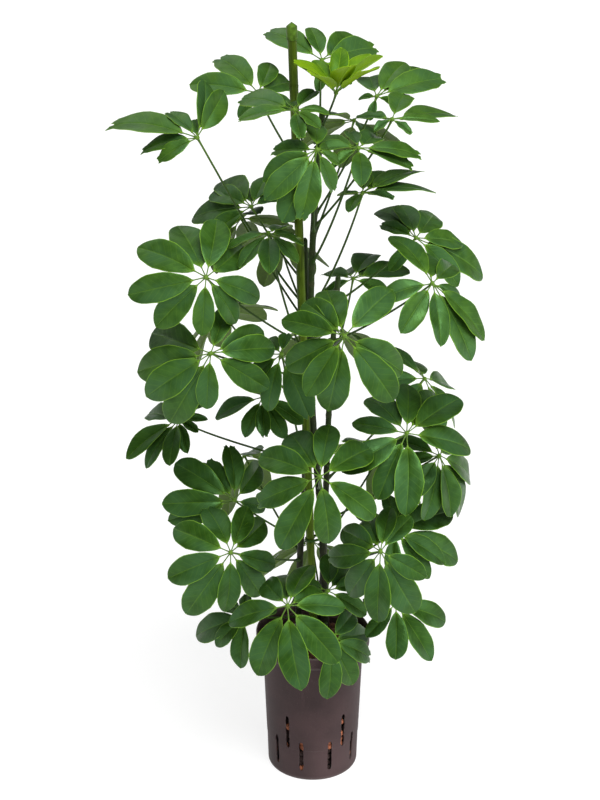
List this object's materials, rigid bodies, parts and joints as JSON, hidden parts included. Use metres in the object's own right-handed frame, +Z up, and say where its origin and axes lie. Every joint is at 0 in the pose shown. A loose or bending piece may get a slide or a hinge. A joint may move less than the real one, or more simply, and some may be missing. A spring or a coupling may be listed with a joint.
{
  "type": "potted umbrella plant",
  "caption": "Tall bushy umbrella plant with hand-shaped leaves of long green leaflets, tied to a capped green stake in a slotted plastic growing pot of clay pebbles.",
  "frame": {"origin": "centre of the pot's flat underside, on the surface that the pot stands on", "axes": "+Z up along the pot's axis, -Y towards the front of the plant as pictured, +X to its right"},
  "size_m": [0.459, 0.4199, 0.991],
  "materials": {
    "pot": "matte",
    "pebbles": "matte",
    "stake": "satin",
    "cap": "satin",
    "stem": "matte",
    "tie": "satin",
    "leaf": "satin",
    "young_leaf": "satin"
  },
  "bodies": {
    "root": {"clay_pebbles": "pebbles", "growing_pot": "pot", "leaf_back_bottom": "leaf", "leaf_back_crown_left": "leaf", "leaf_back_left": "leaf", "leaf_back_low_left": "leaf", "leaf_back_low_right": "leaf", "leaf_back_middle": "leaf", "leaf_back_right": "leaf", "leaf_back_top": "leaf", "leaf_back_upper": "leaf", "leaf_by_stake": "leaf", "leaf_crown_front_right": "leaf", "leaf_crown_left": "leaf", "leaf_crown_left_inner": "leaf", "leaf_crown_right": "leaf", "leaf_crown_right_high": "leaf", "leaf_crown_right_low": "leaf", "leaf_front_bottom": "leaf", "leaf_front_low": "leaf", "leaf_front_middle": "leaf", "leaf_front_top": "leaf", "leaf_inner_front": "leaf", "leaf_inner_left": "leaf", "leaf_inner_low": "leaf", "leaf_left_bottom": "leaf", "leaf_left_far": "leaf", "leaf_left_low": "leaf", "leaf_left_low_behind": "leaf", "leaf_left_middle": "leaf", "leaf_left_upper": "leaf", "leaf_right_behind": "leaf", "leaf_right_bottom": "leaf", "leaf_right_bottom_small": "leaf", "leaf_right_inner": "leaf", "leaf_right_low": "leaf", "leaf_right_low_behind": "leaf", "leaf_right_middle": "leaf", "leaf_right_middle_behind": "leaf", "leaf_right_upper": "leaf", "leaf_top_behind": "leaf", "leaf_top_lime": "young_leaf", "leaf_upper_left_behind": "leaf", "leaf_upper_left_inner": "leaf", "plant_tie_1": "tie", "plant_tie_2": "tie", "stake": "stake", "stake_cap": "cap", "stem_left": "stem", "stem_main": "stem", "stem_right": "stem"}
  },
  "joints": []
}
